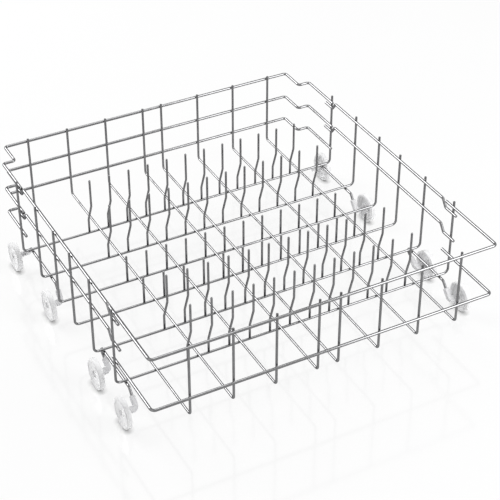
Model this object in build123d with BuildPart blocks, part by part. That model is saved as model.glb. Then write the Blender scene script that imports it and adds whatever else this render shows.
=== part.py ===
from build123d import *
import os
from math import hypot

# Lower basket of a dishwasher: a welded wire rack with rows of tines, on eight plastic wheels.
# Millimetres, +Z up. The origin lies on the ground, under the middle of the basket.
# +X is to the right and +Y to the back of the basket.

# Wire stock, as diameters
hoop_wire = 4.2
floor_wire = 3.5
tine_wire = 3.3
carrier_wire = 4.0

# Space left between two wires where they are welded
weld_gap = 0.02

# Basket, between the centre lines of its upright wires, its height over the ground, the height of the
# lengthwise wires and how much higher the cross wires end
basket_width = 534.4
basket_depth = 555.6
floor_height = 52.5
length_wire_rise = 119.5
cross_wire_extra = 5.5
length_wire_bend = 5.0
cross_wire_bend = 7.0

# Lengthwise wires: the two in the middle stand closer together than the rest
middle_spacing = 32.0
length_spacing = 64.0
wires_each_side = 4

# Cross wires: spacings from the middle outwards, and the shift of their middle to the front
cross_middle_gap = 58.6
cross_inner_gap = 67.9
cross_outer_gap = 74.0
cross_shift = 1.1

# Hoops: drop of the top ones below the ends of the lengthwise wires, heights of the others over the floor
# wires, and their shape in plan
back_top_drop = 5.8
back_middle_level = 70.7
back_low_level = 29.0
front_top_drop = 3.9
front_low_level = 31.4
back_corner_inset = 19.0
back_step_length = 43.8
hoop_overlap = 9.0
front_hoop_overlap = 14.0
back_hoop_bend = 4.5
front_hoop_bend = 6.0

# Side wires: both ends drop so that they pass under the ends of the hoops. The top one lies below the ends of
# the cross wires
side_top_drop = 9.0
side_middle_level = 72.8
side_drop = 11.5
side_slant = 8.5
side_back_start = 9.0
side_front_start = 22.0
side_tail = 12.5
side_bend = 4.0

# Tines
tine_pitch = 32.0
tines_per_row = 12
tine_shift = 16.0
short_tine_height = 44.5
tine_foot = 22.3
tine_slant_rise = 22.5
tine_slant_side = 5.8
tine_tip = 47.0
tine_bend = 0.0
short_rows = (3, 4)

# Wheels
wheel_diameter = 46.0
wheel_width = 8.0
rim_thickness = 4.0
rim_taper = 1.5
outer_dish = 2.0
web_thickness = 2.4
hub_diameter = 14.0
pocket_diameter = 11.0
pocket_depth = 1.5
tread_edge = 0.8

# Studs: an elbow with a socket for the wire leg and a split axle that snaps into the wheel
axle_diameter = 7.0
axle_clearance = 0.05
side_play = 0.3
head_diameter = 9.0
head_length = 2.2
head_tip_diameter = 6.6
snap_slot_width = 1.4
snap_slot_depth = 8.0
shoulder_diameter = 9.4
socket_wall = 1.5
socket_length = 18.0
socket_clearance = 0.05
leg_insertion = 12.5
elbow_reach = 7.5
elbow_radius = 9.0
elbow_inner_radius = 2.0
stud_edge = 1.0

# Wheel carriers, under the cross wires: their inset from the side uprights, and the wheels' offset from them
carrier_inset = 14.4
wheel_offset = 19.0
leg_bend = 4.0

# How far the bend of each leg lies past its cross wire, and how far the leg reaches from there
first_bend_past = 7.4
first_leg_reach = 22.5
second_bend_past = 17.0
second_leg_reach = 17.4
third_bend_past = 17.6
third_leg_reach = 31.9
fourth_bend_past = 10.2
fourth_leg_reach = 20.3

# Heights and places that follow from the sizes above
axle_height = wheel_diameter / 2
cross_height = floor_height - floor_wire - weld_gap
carrier_height = cross_height - (floor_wire + carrier_wire) / 2 - weld_gap
carrier_place = basket_width / 2 - carrier_inset
wall_layer = (floor_wire + hoop_wire) / 2 + weld_gap
hoop_side = basket_width / 2 - wall_layer
hoop_end = basket_depth / 2 + wall_layer
cross_steps = (
    cross_middle_gap / 2 + cross_inner_gap + cross_outer_gap,
    cross_middle_gap / 2 + cross_inner_gap,
    cross_middle_gap / 2,
)
cross_places = [step - cross_shift for step in cross_steps]
cross_places += [-step - cross_shift for step in reversed(cross_steps)]
first_cross = cross_places[0]
last_cross = cross_places[-1]
length_places = [middle_spacing / 2 + length_spacing * i for i in range(wires_each_side)]
length_places = [-x for x in reversed(length_places)] + length_places
sides = {"left": -1, "right": 1}

# Each leg as the y of its bend and of its axle; the third leg is folded back under its run
first_bend = first_cross + first_bend_past
second_bend = cross_places[1] - second_bend_past
third_bend = cross_places[4] + third_bend_past
fourth_bend = last_cross - fourth_bend_past
rear_legs = (
    (first_bend + first_leg_reach, first_bend),
    (second_bend - second_leg_reach, second_bend),
)
front_legs = (
    (third_bend - third_leg_reach, third_bend),
    (fourth_bend - fourth_leg_reach, fourth_bend),
)

os.makedirs("parts", exist_ok=True)


def write(name, builder):
    """Label a finished piece and write it to its own file."""
    builder.part.label = name
    export_step(builder.part, f"parts/{name}.step")


def bent_wire(plane, points, diameter, bend):
    """Round wire along straight runs in one plane, joined by bends, or by mitres where the bend is zero."""
    with BuildPart() as wire:
        with BuildLine(plane) as path:
            FilletPolyline(*points, radius=bend)
        with BuildSketch(Plane(path.line @ 0, z_dir=path.line % 0)):
            Circle(diameter / 2)
        sweep(path=path.line, transition=Transition.RIGHT)
    return wire


def length_wire(x):
    """Back upright, floor run and front upright in one wire."""
    half = basket_depth / 2
    top = floor_height + length_wire_rise
    points = [(half, top), (half, floor_height), (-half, floor_height), (-half, top)]
    return bent_wire(Plane.YZ.offset(x), points, floor_wire, length_wire_bend)


def cross_wire(y):
    """Left upright, floor run and right upright in one wire, under the lengthwise wires."""
    half = basket_width / 2
    top = cross_height + length_wire_rise + cross_wire_extra
    points = [(-half, top), (-half, cross_height), (half, cross_height), (half, top)]
    return bent_wire(Plane.XZ.offset(-y), points, floor_wire, cross_wire_bend)


def back_hoop(level):
    """Hoop round the back wall, stepped outwards at both back corners."""
    inner = hoop_side - back_corner_inset
    step = hoop_end - back_step_length
    tail = first_cross - hoop_overlap
    right = [(inner, hoop_end), (inner, step), (hoop_side, step), (hoop_side, tail)]
    left = [(-x, y) for x, y in reversed(right)]
    return bent_wire(Plane.XY.offset(floor_height + level), left + right, hoop_wire, back_hoop_bend)


def front_hoop(level):
    """Hoop round the front wall, inside the side uprights."""
    tail = last_cross + front_hoop_overlap
    points = [(-hoop_side, tail), (-hoop_side, -hoop_end), (hoop_side, -hoop_end), (hoop_side, tail)]
    return bent_wire(Plane.XY.offset(floor_height + level), points, hoop_wire, front_hoop_bend)


def side_wire(side, level):
    """Straight wire along a side wall, with both ends joggled down."""
    high = floor_height + level
    low = high - side_drop
    back_low = first_cross - side_back_start
    front_low = last_cross + side_front_start - side_slant
    points = [
        (first_cross + side_tail, low),
        (back_low, low),
        (back_low - side_slant, high),
        (front_low + side_slant, high),
        (front_low, low),
        (last_cross - side_tail, low),
    ]
    return bent_wire(Plane.YZ.offset(side * hoop_side), points, hoop_wire, side_bend)


def leg_direction(axle_y, bend_y):
    """Unit steps in y and z along a leg, from the axle up to the bend."""
    reach = bend_y - axle_y
    rise = carrier_height - axle_height
    return reach / hypot(reach, rise), rise / hypot(reach, rise)


def leg_end(axle_y, bend_y):
    """Lower end of a leg, inside its stud, in y and z."""
    step_y, step_z = leg_direction(axle_y, bend_y)
    distance = socket_length - leg_insertion
    return axle_y + step_y * distance, axle_height + step_z * distance


def wheel_carrier(side, legs):
    """Run under two cross wires, with a leg at each end that slants down to a stud."""
    (rear_axle, rear_bend), (front_axle, front_bend) = legs
    points = [
        leg_end(rear_axle, rear_bend),
        (rear_bend, carrier_height),
        (front_bend, carrier_height),
        leg_end(front_axle, front_bend),
    ]
    return bent_wire(Plane.YZ.offset(side * carrier_place), points, carrier_wire, leg_bend)


def tine_row(y, tine):
    """One row of like tines, standing on a cross wire."""
    seat = cross_height + floor_wire / 2 + weld_gap
    with BuildPart() as row:
        with Locations((tine_shift, y, seat)):
            with GridLocations(tine_pitch, 0, tines_per_row, 1):
                add(tine)
    return row


def wheel(side, axle_y):
    """Roller with a rim, a web dished from both faces, and a hub with a pocket for the axle's head."""
    inner = carrier_place + wheel_offset - wheel_width / 2
    outer = inner + wheel_width
    web_outer = outer - outer_dish
    rim_inside = wheel_diameter / 2 - rim_thickness
    tread = wheel_diameter / 2
    hub = hub_diameter / 2
    bore = axle_diameter / 2 + axle_clearance
    pocket = pocket_diameter / 2
    axis = Axis((0, axle_y, axle_height), (1, 0, 0))
    with BuildPart() as roller:
        with BuildSketch(Plane((0, axle_y, axle_height), x_dir=(side, 0, 0), z_dir=(0, -side, 0))):
            with BuildLine():
                Polyline(
                    (inner, bore),
                    (inner, hub),
                    (web_outer - web_thickness, hub),
                    (web_outer - web_thickness, rim_inside - rim_taper),
                    (inner, rim_inside),
                    (inner, tread - tread_edge),
                    (inner + tread_edge, tread),
                    (outer - tread_edge, tread),
                    (outer, tread - tread_edge),
                    (outer, rim_inside),
                    (web_outer, rim_inside - rim_taper),
                    (web_outer, pocket),
                    (web_outer - pocket_depth, pocket),
                    (web_outer - pocket_depth, bore),
                    close=True,
                )
            make_face()
        revolve(axis=axis)
    return roller


def wheel_stud(side, axle_y, bend_y):
    """Socket on the end of a leg, with a shoulder and a split axle that snaps into the wheel."""
    leg = Vector(0, *leg_direction(axle_y, bend_y))
    wire_plane = Plane((side * carrier_place, axle_y, axle_height), x_dir=leg, z_dir=(side, 0, 0))
    profile_plane = Plane(wire_plane.origin, x_dir=leg, z_dir=-wire_plane.y_dir)
    half_wall = carrier_wire / 2 + socket_wall
    shoulder = shoulder_diameter / 2
    shoulder_end = wheel_offset - wheel_width / 2 - side_play
    head_start = shoulder_end + wheel_width - outer_dish - pocket_depth + 2 * side_play
    head_end = head_start + head_length
    with BuildPart() as stud:
        with BuildSketch(profile_plane) as elbow:
            with BuildLine():
                Polyline(
                    (-shoulder, -half_wall),
                    (socket_length, -half_wall),
                    (socket_length, half_wall),
                    (shoulder, half_wall),
                    (shoulder, elbow_reach),
                    (-shoulder, elbow_reach),
                    close=True,
                )
            make_face()
            corners = elbow.vertices()
            fillet(corners.sort_by_distance((-shoulder, -half_wall))[0], elbow_radius)
            fillet(corners.sort_by_distance((shoulder, half_wall))[0], elbow_inner_radius)
        extrude(amount=half_wall, both=True)
        arm_end = stud.faces().sort_by(Axis(wire_plane.origin, wire_plane.z_dir))[-1]
        fillet([edge for edge in stud.edges() if edge not in arm_end.edges()], stud_edge)
        with BuildSketch(profile_plane):
            with BuildLine():
                Polyline(
                    (0, elbow_reach),
                    (shoulder, elbow_reach),
                    (shoulder, shoulder_end),
                    (axle_diameter / 2, shoulder_end),
                    (axle_diameter / 2, head_start),
                    (head_diameter / 2, head_start),
                    (head_tip_diameter / 2, head_end),
                    (0, head_end),
                    close=True,
                )
            make_face()
        revolve(axis=Axis(wire_plane.origin, wire_plane.z_dir))
        with BuildSketch(wire_plane.offset(head_end)):
            Rectangle(head_diameter, snap_slot_width)
        extrude(amount=-snap_slot_depth, mode=Mode.SUBTRACT)
        with BuildSketch(Plane(wire_plane.origin + leg * socket_length, z_dir=-leg)):
            Circle(carrier_wire / 2 + socket_clearance)
        extrude(amount=leg_insertion + socket_clearance, mode=Mode.SUBTRACT)
    return stud


tall_tine = bent_wire(
    Plane.XZ,
    [
        (0, 0),
        (0, tine_foot),
        (tine_slant_side, tine_foot + tine_slant_rise),
        (tine_slant_side, tine_foot + tine_slant_rise + tine_tip),
    ],
    tine_wire,
    tine_bend,
)
with BuildPart() as short_tine:
    with BuildSketch():
        Circle(tine_wire / 2)
    extrude(amount=short_tine_height)

for number, x in enumerate(length_places, 1):
    write(f"lengthwise_wire_{number}", length_wire(x))

for number, y in enumerate(cross_places, 1):
    write(f"cross_wire_{number}", cross_wire(y))
    tine = short_tine if number in short_rows else tall_tine
    write(f"tine_row_{number}", tine_row(y, tine.part))

back_top_level = length_wire_rise - back_top_drop
back_levels = {"top": back_top_level, "middle": back_middle_level, "low": back_low_level}
for name, level in back_levels.items():
    write(f"back_hoop_{name}", back_hoop(level))

front_top_level = length_wire_rise - front_top_drop
for name, level in {"top": front_top_level, "low": front_low_level}.items():
    write(f"front_hoop_{name}", front_hoop(level))

side_top_level = length_wire_rise + cross_wire_extra - side_top_drop
for side_name, side in sides.items():
    write(f"side_wire_{side_name}_top", side_wire(side, side_top_level))
    write(f"side_wire_{side_name}_middle", side_wire(side, side_middle_level))
    write(f"wheel_carrier_{side_name}_rear", wheel_carrier(side, rear_legs))
    write(f"wheel_carrier_{side_name}_front", wheel_carrier(side, front_legs))
    for number, (axle_y, bend_y) in enumerate(rear_legs + front_legs, 1):
        write(f"wheel_{side_name}_{number}", wheel(side, axle_y))
        write(f"wheel_stud_{side_name}_{number}", wheel_stud(side, axle_y, bend_y))
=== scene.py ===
# %% [markdown]
# # The lower basket of a dishwasher, dressed
# The basket is a welded rack of steel wire on eight plastic wheels. Its solids come packed, in metres, with
# +Z up and the ground at height zero. This lesson loads them as a fixed frame, gives every wire its finish,
# models again what a solid shows too plainly, and then sets up the light, the floor and the camera.

# %% Load the frame
from math import pi, radians, tan

import bmesh
import bpy
from mathutils import Euler, Matrix, Vector


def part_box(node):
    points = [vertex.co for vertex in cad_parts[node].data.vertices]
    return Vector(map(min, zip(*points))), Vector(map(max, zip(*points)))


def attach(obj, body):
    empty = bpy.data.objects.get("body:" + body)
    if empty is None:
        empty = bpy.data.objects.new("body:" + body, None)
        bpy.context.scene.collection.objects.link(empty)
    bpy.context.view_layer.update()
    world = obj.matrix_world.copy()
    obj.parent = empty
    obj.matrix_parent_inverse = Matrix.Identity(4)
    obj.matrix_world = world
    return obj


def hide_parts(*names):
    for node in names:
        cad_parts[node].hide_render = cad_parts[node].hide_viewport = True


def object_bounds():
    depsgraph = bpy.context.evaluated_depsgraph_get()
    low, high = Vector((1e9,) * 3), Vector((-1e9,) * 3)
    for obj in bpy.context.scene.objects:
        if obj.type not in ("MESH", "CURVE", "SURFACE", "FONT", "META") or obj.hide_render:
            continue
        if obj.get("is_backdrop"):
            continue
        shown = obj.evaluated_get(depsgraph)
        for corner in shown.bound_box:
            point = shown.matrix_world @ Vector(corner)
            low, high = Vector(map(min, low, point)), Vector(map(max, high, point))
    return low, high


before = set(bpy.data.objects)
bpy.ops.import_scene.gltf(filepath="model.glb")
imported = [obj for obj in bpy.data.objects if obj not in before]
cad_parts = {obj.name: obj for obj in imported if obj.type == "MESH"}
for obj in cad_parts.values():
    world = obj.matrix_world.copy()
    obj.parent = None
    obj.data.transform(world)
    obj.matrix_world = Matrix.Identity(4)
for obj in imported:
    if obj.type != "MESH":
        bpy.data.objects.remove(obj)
cad_low, cad_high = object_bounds()
millimetre = 0.001
print("CAD nodes:", len(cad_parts), "box in mm:", [round(x / millimetre, 1) for x in cad_high - cad_low])

# %% [markdown]
# ## Finding the pieces
# Nodes are named for what they are, such as cross_wire_1, so a prefix gathers all the pieces of one kind in
# order. Their boxes give the places of everything that is added below, so nothing is measured twice.

# %% Gather the nodes by kind
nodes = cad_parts


def nodes_of(prefix):
    """Names of the nodes of one kind, in order."""
    return sorted(name for name in nodes if name.startswith(prefix))


length_wires = nodes_of("lengthwise_wire")
cross_wires = nodes_of("cross_wire")
tine_rows = nodes_of("tine_row")
back_hoops = nodes_of("back_hoop")
front_hoops = nodes_of("front_hoop")
side_wires = nodes_of("side_wire")
carriers = nodes_of("wheel_carrier")
studs = nodes_of("wheel_stud")
wheels = [name for name in nodes_of("wheel_") if name not in carriers + studs]
steel_nodes = length_wires + cross_wires + back_hoops + front_hoops + side_wires + carriers
print("steel wires:", len(steel_nodes), "wheels:", len(wheels), "studs:", len(studs))

# %% [markdown]
# ## The finish of the wire
# Basket wire is drawn through a die, welded and then polished in a bath. It comes out as a dark grey steel
# with a fair shine: the die leaves faint streaks, the bath leaves soft clouds, and both change how sharply
# it reflects far more than its colour. So the colour moves only a little here, and the roughness moves more.

# %% Node helpers
noise_detail = 3.0
noise_middle = (0.3, 0.7)
grain_strength = 0.4


def new_material(name):
    """A material with its Principled shader, its node tree and the object's own coordinates."""
    material = bpy.data.materials.new(name)
    material.use_nodes = True
    tree = material.node_tree
    shader = tree.nodes["Principled BSDF"]
    place = tree.nodes.new("ShaderNodeTexCoord").outputs["Object"]
    return material, tree, shader, place


def noise(tree, place, scale):
    """A cloud pattern, with a scale in features per metre."""
    node = tree.nodes.new("ShaderNodeTexNoise")
    node.inputs["Scale"].default_value = scale
    node.inputs["Detail"].default_value = noise_detail
    tree.links.new(place, node.inputs["Vector"])
    return node.outputs["Fac"]


def spread(tree, value, low, high):
    """The middle of a noise pattern, spread between two values."""
    node = tree.nodes.new("ShaderNodeMapRange")
    node.inputs["From Min"].default_value = noise_middle[0]
    node.inputs["From Max"].default_value = noise_middle[1]
    node.inputs["To Min"].default_value = low
    node.inputs["To Max"].default_value = high
    tree.links.new(value, node.inputs["Value"])
    return node.outputs["Result"]


def colours(tree, value, low, high):
    """A colour that follows a noise pattern between two tones."""
    node = tree.nodes.new("ShaderNodeValToRGB")
    for stop, position, tone in zip(node.color_ramp.elements, noise_middle, (low, high)):
        stop.position = position
        stop.color = (*tone, 1)
    tree.links.new(value, node.inputs["Fac"])
    return node.outputs["Color"]


def bump(tree, shader, height, depth):
    """Fine relief of the given depth in metres."""
    node = tree.nodes.new("ShaderNodeBump")
    node.inputs["Strength"].default_value = grain_strength
    node.inputs["Distance"].default_value = depth
    tree.links.new(height, node.inputs["Height"])
    tree.links.new(node.outputs["Normal"], shader.inputs["Normal"])


# %% Polished wire and weld metal
steel_tone_scale = 90.0
steel_shine_scale = 60.0
steel_grain_scale = 2400.0
steel_grain_depth = 0.008 * millimetre
steel_edge_tint = (0.4, 0.4, 0.41, 1)


def steel(name, dark, light, smooth, rough):
    """Metal whose tone and roughness each follow a cloud pattern between two values."""
    material, tree, shader, place = new_material(name)
    shader.inputs["Metallic"].default_value = 1.0
    shader.inputs["Specular Tint"].default_value = steel_edge_tint
    tone = colours(tree, noise(tree, place, steel_tone_scale), dark, light)
    tree.links.new(tone, shader.inputs["Base Color"])
    shine = spread(tree, noise(tree, place, steel_shine_scale), smooth, rough)
    tree.links.new(shine, shader.inputs["Roughness"])
    bump(tree, shader, noise(tree, place, steel_grain_scale), steel_grain_depth)
    return material


wire_steel = steel("polished_wire", dark=(0.18, 0.18, 0.183), light=(0.215, 0.215, 0.219),
                   smooth=0.1, rough=0.14)
weld_steel = steel("weld_metal", dark=(0.4, 0.397, 0.392), light=(0.48, 0.476, 0.47),
                   smooth=0.25, rough=0.35)
print("steel finishes:", wire_steel.name, weld_steel.name)

# %% [markdown]
# ## The finish of the plastics
# The wheels are moulded in a milky plastic that lets a little light through, so their edges look soft.
# Subsurface scattering gives that, with a reach of two millimetres. The studs are a filled, greyer plastic.
# Both come smooth from a polished mould, so the relief on them is very fine.

# %% Moulded plastics
plastic_tone_scale = 70.0
plastic_shine_scale = 400.0
plastic_grain_scale = 1500.0
plastic_grain_depth = 0.006 * millimetre
plastic_reach = 2 * millimetre


def plastic(name, dark, light, smooth, rough, glow):
    """Plastic that scatters a share of the light below its surface, the same for all colours."""
    material, tree, shader, place = new_material(name)
    shader.inputs["Subsurface Weight"].default_value = glow
    shader.inputs["Subsurface Radius"].default_value = (1.0, 1.0, 1.0)
    shader.inputs["Subsurface Scale"].default_value = plastic_reach
    tone = colours(tree, noise(tree, place, plastic_tone_scale), dark, light)
    tree.links.new(tone, shader.inputs["Base Color"])
    shine = spread(tree, noise(tree, place, plastic_shine_scale), smooth, rough)
    tree.links.new(shine, shader.inputs["Roughness"])
    bump(tree, shader, noise(tree, place, plastic_grain_scale), plastic_grain_depth)
    return material


wheel_plastic = plastic("milky_plastic", dark=(0.83, 0.83, 0.837), light=(0.86, 0.86, 0.866),
                        smooth=0.32, rough=0.45, glow=0.1)
stud_plastic = plastic("grey_plastic", dark=(0.66, 0.66, 0.67), light=(0.74, 0.74, 0.75),
                       smooth=0.4, rough=0.55, glow=0.15)


# %% Dress the frame's own pieces
def dress(names, material):
    """Give the frame's own pieces a finish."""
    for name in names:
        slots = nodes[name].data.materials
        slots.clear()
        slots.append(material)


dress(steel_nodes, wire_steel)
dress(studs, stud_plastic)
print("dressed:", len(steel_nodes), "wires and", len(studs), "studs")

# %% [markdown]
# ## From a bmesh to a piece of the basket
# Every new piece ends in the same way: its faces are turned outwards and shaded smooth, it gets its finish,
# and it is tied to the body that it moves with. The object itself stays at the origin, so its mesh holds its
# place.

# %% Finish a piece
def finish_piece(name, bm, material, body):
    """Turn a bmesh into a named piece that rides on a body."""
    bmesh.ops.recalc_face_normals(bm, faces=bm.faces)
    mesh = bpy.data.meshes.new(name)
    bm.to_mesh(mesh)
    bm.free()
    mesh.shade_smooth()
    mesh.materials.append(material)
    piece = bpy.data.objects.new(name, mesh)
    bpy.context.scene.collection.objects.link(piece)
    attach(piece, body)
    return piece


# %% [markdown]
# ## Tines
# A tine is a straight wire that a press kinks twice and whose tip is dressed to a dome, so that it doesn't
# scratch plates. The solids have sharp mitres and flat cuts there. A ring of points that is pushed along the
# wire and spun round each kink gives the soft corners, and two smaller rings close the tip. A curve with a
# bevel would give the kinks too, but not the dome.

# %% Measure the tines
tall_low, tall_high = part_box(tine_rows[0])
short_low, short_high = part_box(tine_rows[2])
tines_per_row = 12
tine_wire = short_high.y - short_low.y
tine_pitch = (short_high.x - short_low.x - tine_wire) / (tines_per_row - 1)
tine_kink = (tall_high.x - tall_low.x) - (short_high.x - short_low.x)
tine_foot = 22.3 * millimetre
tine_slant_rise = 22.5 * millimetre
tine_bend = 11 * millimetre
print("tines of", round(tine_wire / millimetre, 2), "mm wire, every", round(tine_pitch / millimetre, 2), "mm")

# %% Push and swing a ring of edges
def points_of(ring):
    """The vertices of a ring of edges, each once and in order."""
    return list(dict.fromkeys(vertex for edge in ring for vertex in edge.verts))


def push(bm, ring, step, shrink=1.0):
    """Extrude a ring by a step, make it smaller, and return the new ring."""
    made = bmesh.ops.extrude_edge_only(bm, edges=ring)["geom"]
    ring = [item for item in made if isinstance(item, bmesh.types.BMEdge)]
    points = points_of(ring)
    bmesh.ops.translate(bm, vec=step, verts=points)
    centre = sum((point.co for point in points), Vector()) / len(points)
    bmesh.ops.scale(bm, vec=(shrink, shrink, shrink), space=Matrix.Translation(-centre), verts=points)
    return ring


def swing(bm, ring, centre, axis, angle, steps=4):
    """Spin a ring round a corner, and return the last ring."""
    made = bmesh.ops.spin(bm, geom=ring + points_of(ring), cent=centre, axis=axis, angle=angle, steps=steps,
                          use_duplicate=False)["geom_last"]
    return [item for item in made if isinstance(item, bmesh.types.BMEdge)]


# %% Draw one tine along its route
dome_height_share = 0.4
dome_rings = ((0.6, 0.8), (0.4, 0.5))


def draw_tine(bm, route, wire, bend, sides=12):
    """Straight runs with a spun corner between them, and a dome on the last end."""
    here, heading = route[0], (route[1] - route[0]).normalized()
    start = bmesh.ops.create_circle(bm, cap_ends=True, segments=sides, radius=wire / 2,
                                    matrix=Matrix.Translation(here))["verts"]
    ring = list(dict.fromkeys(edge for vertex in start for edge in vertex.link_edges))
    for corner, beyond in zip(route[1:], route[2:]):
        onward = (beyond - corner).normalized()
        turn = heading.angle(onward)
        set_back = bend * tan(turn / 2)
        entry = corner - heading * set_back
        ring = push(bm, ring, entry - here)
        axis = heading.cross(onward).normalized()
        ring = swing(bm, ring, entry + axis.cross(heading) * bend, axis, turn)
        here, heading = corner + onward * set_back, onward
    dome = dome_height_share * wire
    ring = push(bm, ring, route[-1] - heading * dome - here)
    for rise, shrink in dome_rings:
        ring = push(bm, ring, heading * dome * rise, shrink)
    bmesh.ops.contextual_create(bm, geom=ring)


# %% Draw the six rows
def tine_route(foot, top):
    """Points from the foot to the tip. A tine that is tall enough has a kink between them."""
    up = Vector((0, 0, 1))
    slant_end = tine_foot + tine_slant_rise
    if top <= slant_end + tine_bend:
        return [foot, foot + up * top]
    lean = Vector((tine_kink, 0, 0))
    return [foot, foot + up * tine_foot, foot + lean + up * slant_end, foot + lean + up * top]


def draw_row(node):
    """A row of like tines that stands for a node."""
    low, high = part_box(node)
    foot = Vector((low.x + tine_wire / 2, (low.y + high.y) / 2, low.z))
    bm = bmesh.new()
    draw_tine(bm, tine_route(foot, high.z - low.z), tine_wire, tine_bend)
    first = bm.verts[:] + bm.edges[:] + bm.faces[:]
    for number in range(1, tines_per_row):
        copy = bmesh.ops.duplicate(bm, geom=first)["geom"]
        moved = [item for item in copy if isinstance(item, bmesh.types.BMVert)]
        bmesh.ops.translate(bm, vec=(tine_pitch * number, 0, 0), verts=moved)
    piece = finish_piece(node.replace("tine_row", "kinked_tines"), bm, wire_steel, "rack")
    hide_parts(node)
    return len(piece.data.polygons)


print("faces in each row:", [draw_row(node) for node in tine_rows])

# %% [markdown]
# ## Wheels
# Each wheel is a moulded roller: a rounded tread, a rim that tapers for the mould, and a thin web. The web
# lies near the outer face, so that face is almost flat, with a pocket for the head of the axle, and the inner
# face is a deep dish round a hub. One half of the section is drawn as a line and spun right round the axle.
# The bevel then softens every edge that is sharp, as a mould does.

# %% Section of a wheel
rim_thickness = 4.0 * millimetre
rim_taper = 1.0 * millimetre
outer_dish = 0.8 * millimetre
web_thickness = 1.8 * millimetre
hub_radius = 7.0 * millimetre
bore_radius = 3.55 * millimetre
pocket_radius = 5.5 * millimetre
pocket_depth = 2.7 * millimetre
tread_edge = 0.8 * millimetre
mould_radius = 0.4 * millimetre


def wheel_section(width, tread):
    """Points as (distance outwards from the inner face, distance from the axle)."""
    rim_inside = tread - rim_thickness
    web_outer = width - outer_dish
    web_inner = web_outer - web_thickness
    pocket_floor = web_outer - pocket_depth
    return [
        (0, bore_radius), (0, hub_radius), (web_inner, hub_radius + mould_radius),
        (web_inner, rim_inside - rim_taper), (0, rim_inside), (0, tread - tread_edge), (tread_edge, tread),
        (width - tread_edge, tread), (width, tread - tread_edge), (width, rim_inside),
        (web_outer, rim_inside - rim_taper), (web_outer, pocket_radius),
        (pocket_floor, pocket_radius), (pocket_floor, bore_radius),
    ]


# %% Spin the wheels
wheel_steps = 72
join_distance = 0.001 * millimetre
sharp_angle = radians(20)
mould_segments = 2


def spin_wheel(node):
    """A roller with softened edges that stands for a node and turns with its own body."""
    low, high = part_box(node)
    middle = (low + high) / 2
    side = 1 if middle.x > 0 else -1
    inner = middle.x - side * (high.x - low.x) / 2
    bm = bmesh.new()
    section = [bm.verts.new((inner + side * out, middle.y, middle.z + away))
               for out, away in wheel_section(high.x - low.x, (high.z - low.z) / 2)]
    line = [bm.edges.new((a, b)) for a, b in zip(section, section[1:] + section[:1])]
    bmesh.ops.spin(bm, geom=section + line, cent=middle, axis=(1, 0, 0), angle=2 * pi, steps=wheel_steps,
                   use_merge=True, use_duplicate=False)
    bmesh.ops.remove_doubles(bm, verts=bm.verts, dist=join_distance)
    bmesh.ops.recalc_face_normals(bm, faces=bm.faces)
    sharp = [edge for edge in bm.edges if len(edge.link_faces) == 2 and edge.calc_face_angle() > sharp_angle]
    bmesh.ops.bevel(bm, geom=sharp, offset=mould_radius, offset_type="OFFSET", segments=mould_segments,
                    profile=0.5, affect="EDGES", material=-1, clamp_overlap=True)
    piece = finish_piece(node.replace("wheel", "roller"), bm, wheel_plastic, node)
    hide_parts(node)
    return len(piece.data.polygons)


print("faces in each wheel:", [spin_wheel(node) for node in wheels])

# %% [markdown]
# ## Welds
# Wires that cross are pressed together and welded by a current, which squeezes a small collar of metal out
# round the touching point. The solids leave that out, so a low flat bead is set at each crossing here. There
# are about two hundred, so each has only a few dozen faces.

# %% Set one bead
bead_reach = 1.6 * millimetre
bead_height = 0.8 * millimetre
bead_sides = 8
bead_rings = 6


def set_bead(bm, place, across):
    """A flattened ball whose short axis points from one wire to the other."""
    turned = Vector(across).to_track_quat("Z", "Y").to_matrix().to_4x4()
    flat = Matrix.Diagonal((bead_reach, bead_reach, bead_height, 1))
    bmesh.ops.create_uvsphere(bm, u_segments=bead_sides, v_segments=bead_rings, radius=1,
                              matrix=Matrix.Translation(place) @ turned @ flat)


def centre_of(node):
    """Middle of a node's box."""
    low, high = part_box(node)
    return (low + high) / 2


# %% Beads under the floor wires, the carriers and the tines
upwards = (0, 0, 1)
bm = bmesh.new()
floor_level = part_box(length_wires[0])[0].z
for cross in cross_wires:
    y = centre_of(cross).y
    for along in length_wires:
        set_bead(bm, (centre_of(along).x, y, floor_level), upwards)
    for carrier in carriers:
        low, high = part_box(carrier)
        if low.y < y < high.y:
            set_bead(bm, (centre_of(carrier).x, y, high.z), upwards)
for node in tine_rows:
    low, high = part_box(node)
    for number in range(tines_per_row):
        x = low.x + tine_wire / 2 + tine_pitch * number
        set_bead(bm, (x, (low.y + high.y) / 2, low.z), upwards)
floor_beads = finish_piece("floor_welds", bm, weld_steel, "rack")
print("faces of the floor welds:", len(floor_beads.data.polygons))

# %% Beads on the walls
backwards = (0, 1, 0)
sideways = (1, 0, 0)
bm = bmesh.new()
for hoop in back_hoops + front_hoops:
    low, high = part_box(hoop)
    level = (low.z + high.z) / 2
    end = 1 if hoop in back_hoops else -1
    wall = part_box(length_wires[0])[1].y * end
    for along in length_wires:
        set_bead(bm, (centre_of(along).x, wall, level), backwards)
    for cross in cross_wires:
        y = centre_of(cross).y
        if low.y < y < high.y:
            for wall in (low.x, high.x):
                set_bead(bm, (wall, y, level), sideways)
for node in side_wires:
    low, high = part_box(node)
    wire = high.x - low.x
    wall = high.x if high.x > 0 else low.x
    for cross in cross_wires:
        y = centre_of(cross).y
        level = low.z + wire / 2 if cross in (cross_wires[0], cross_wires[-1]) else high.z - wire / 2
        set_bead(bm, (wall, y, level), sideways)
wall_beads = finish_piece("wall_welds", bm, weld_steel, "rack")
print("faces of the wall welds:", len(wall_beads.data.polygons))

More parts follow.
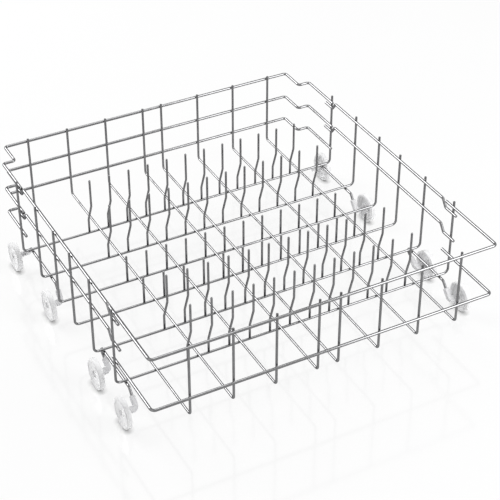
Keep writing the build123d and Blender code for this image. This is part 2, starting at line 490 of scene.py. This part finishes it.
# %% [markdown]
# ## Lamps
# Round wire shows what stands round it, as a thin line along its length. A wire that runs to the back can
# only show what lies on a cone round its own direction, so one long lamp stands behind on that cone, and one
# in front and one overhead do the same for the wires that run across. Each is long across the wire, which
# sets the width of the bright line, and as wide as the cone moves from one corner of the basket to the other.
# Upright wires see only the floor and stay dark. A dim fill at the left lights the faces of the wheels, and
# no straight wire shows it.

# %% Set the lamps
basket_middle = (cad_low + cad_high) / 2


def light_strip(name, start, end, width, radiance):
    """A long flat lamp between two points, turned to the basket. Its power follows from its brightness."""
    along = Vector(end) - Vector(start)
    place = (Vector(start) + Vector(end)) / 2
    across = (place - basket_middle).cross(along)
    away = along.cross(across)
    lamp = bpy.data.lights.new(name, "AREA")
    lamp.shape = "RECTANGLE"
    lamp.size = along.length
    lamp.size_y = width
    lamp.energy = radiance * pi * along.length * width
    strip = bpy.data.objects.new(name, lamp)
    strip.location = place
    axes = [axis.normalized() for axis in (along, across, away)]
    strip.rotation_euler = Matrix(axes).transposed().to_euler()
    strip.visible_camera = False
    bpy.context.scene.collection.objects.link(strip)
    return round(lamp.energy, 1)


print("watts of the lamps:", [
    light_strip("back_strip", start=(-2.3, 2.5, 1.6), end=(-0.5, 2.6, 2.7), width=1.5, radiance=9.0),
    light_strip("top_strip", start=(0.7, 1.7, 3.0), end=(0.8, -0.3, 3.4), width=1.0, radiance=4.0),
    light_strip("front_strip", start=(1.3, -0.75, 2.1), end=(1.4, -2.3, 0.5), width=0.9, radiance=6.5),
    light_strip("left_fill", start=(-2.3, -2.0, 0.9), end=(-2.6, 0.0, 0.9), width=1.4, radiance=0.7),
])

# %% [markdown]
# ## White room
# The basket stands in a white room. A world that bright would flood the wires with light from all sides, so
# it is white only where the camera, a reflection or a clear material looks at it, and much dimmer as a light.
# The Light Path node tells those rays apart.

# %% Background that is white where it is seen, and dimmer where it lights
white = (1, 1, 1, 1)
room_light = 0.2


def seen_ray(tree):
    """One where the camera, a reflection or a clear material looks, and zero for the light itself."""
    path = tree.nodes.new("ShaderNodeLightPath")
    either = path.outputs["Is Camera Ray"]
    for name in ("Is Glossy Ray", "Is Transmission Ray"):
        most = tree.nodes.new("ShaderNodeMath")
        most.operation = "MAXIMUM"
        tree.links.new(either, most.inputs[0])
        tree.links.new(path.outputs[name], most.inputs[1])
        either = most.outputs["Value"]
    return either


def mix_shaders(tree, share, first, second):
    """A blend of two shaders. The share of the second is a number or another node's output."""
    node = tree.nodes.new("ShaderNodeMixShader")
    if isinstance(share, float):
        node.inputs["Fac"].default_value = share
    else:
        tree.links.new(share, node.inputs["Fac"])
    tree.links.new(first.outputs[0], node.inputs[1])
    tree.links.new(second.outputs[0], node.inputs[2])
    return node


world = bpy.data.worlds.new("white_room")
world.use_nodes = True
bpy.context.scene.world = world
room = world.node_tree
lighting = room.nodes["Background"]
lighting.inputs["Color"].default_value = white
lighting.inputs["Strength"].default_value = room_light
seen = room.nodes.new("ShaderNodeBackground")
seen.inputs["Color"].default_value = white
both = mix_shaders(room, seen_ray(room), lighting, seen)
room.links.new(both.outputs[0], room.nodes["World Output"].inputs["Surface"])
print("light of the room:", room_light)

# %% [markdown]
# ## Floor
# The floor is a plain white board. It shines a little by itself where it is seen, to stay white, and a thin
# gloss gives the faint mirror image under the basket. That shine would wash out the small dark shade at the
# foot of each wheel, so an ambient occlusion node dims it where something stands close to the floor.

# %% Lay the floor
floor_half = 12
floor_gap = 0.1 * millimetre
floor_mesh = bpy.data.meshes.new("floor")
bm = bmesh.new()
bmesh.ops.create_grid(bm, x_segments=1, y_segments=1, size=floor_half)
bmesh.ops.translate(bm, vec=(0, 0, cad_low.z - floor_gap), verts=bm.verts)
bm.to_mesh(floor_mesh)
bm.free()
floor = bpy.data.objects.new("floor", floor_mesh)
bpy.context.scene.collection.objects.link(floor)
floor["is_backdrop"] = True
print("floor of", 2 * floor_half, "m")

# %% Finish of the floor
floor_tone_scale = 3.0
floor_dark = (0.9, 0.9, 0.9)
floor_light = (0.93, 0.93, 0.93)
floor_roughness = 0.5
floor_shine = 0.85
contact_reach = 8 * millimetre
gloss_share = 0.08
gloss_roughness = 0.1

floor_white, tree, shader, place = new_material("white_floor")
tone = colours(tree, noise(tree, place, floor_tone_scale), floor_dark, floor_light)
tree.links.new(tone, shader.inputs["Base Color"])
shader.inputs["Roughness"].default_value = floor_roughness
lift = tree.nodes.new("ShaderNodeEmission")
nearby = tree.nodes.new("ShaderNodeAmbientOcclusion")
nearby.inputs["Distance"].default_value = contact_reach
tree.links.new(nearby.outputs["AO"], lift.inputs["Strength"])
share = tree.nodes.new("ShaderNodeMath")
share.operation = "MULTIPLY"
share.inputs[1].default_value = floor_shine
tree.links.new(seen_ray(tree), share.inputs[0])
gloss = tree.nodes.new("ShaderNodeBsdfGlossy")
gloss.inputs["Roughness"].default_value = gloss_roughness
board = mix_shaders(tree, share.outputs[0], shader, lift)
polished = mix_shaders(tree, gloss_share, board, gloss)
tree.links.new(polished.outputs[0], tree.nodes["Material Output"].inputs["Surface"])
floor_mesh.materials.append(floor_white)
print("floor shines by", floor_shine, "where it is seen")

# %% [markdown]
# ## Camera
# The picture looks down on the front left corner through a long lens, so lines that run back hardly close in.

# %% Set the camera
camera = bpy.data.cameras.new("camera")
camera.sensor_width = 36.0
camera.lens = 106.73
camera_object = bpy.data.objects.new("camera", camera)
camera_object.location = (-0.8185, -1.5886, 1.35485)
camera_object.rotation_euler = Euler((radians(54.28), radians(-0.02), radians(-28.04)))
bpy.context.scene.collection.objects.link(camera_object)
bpy.context.scene.camera = camera_object
bpy.context.scene.view_settings.view_transform = "Standard"
print("camera with a lens of", round(camera.lens, 1), "mm")

# %% Print the visual box and finish
low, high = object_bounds()
print("visual box in mm:", [round(x / millimetre, 1) for x in high - low])
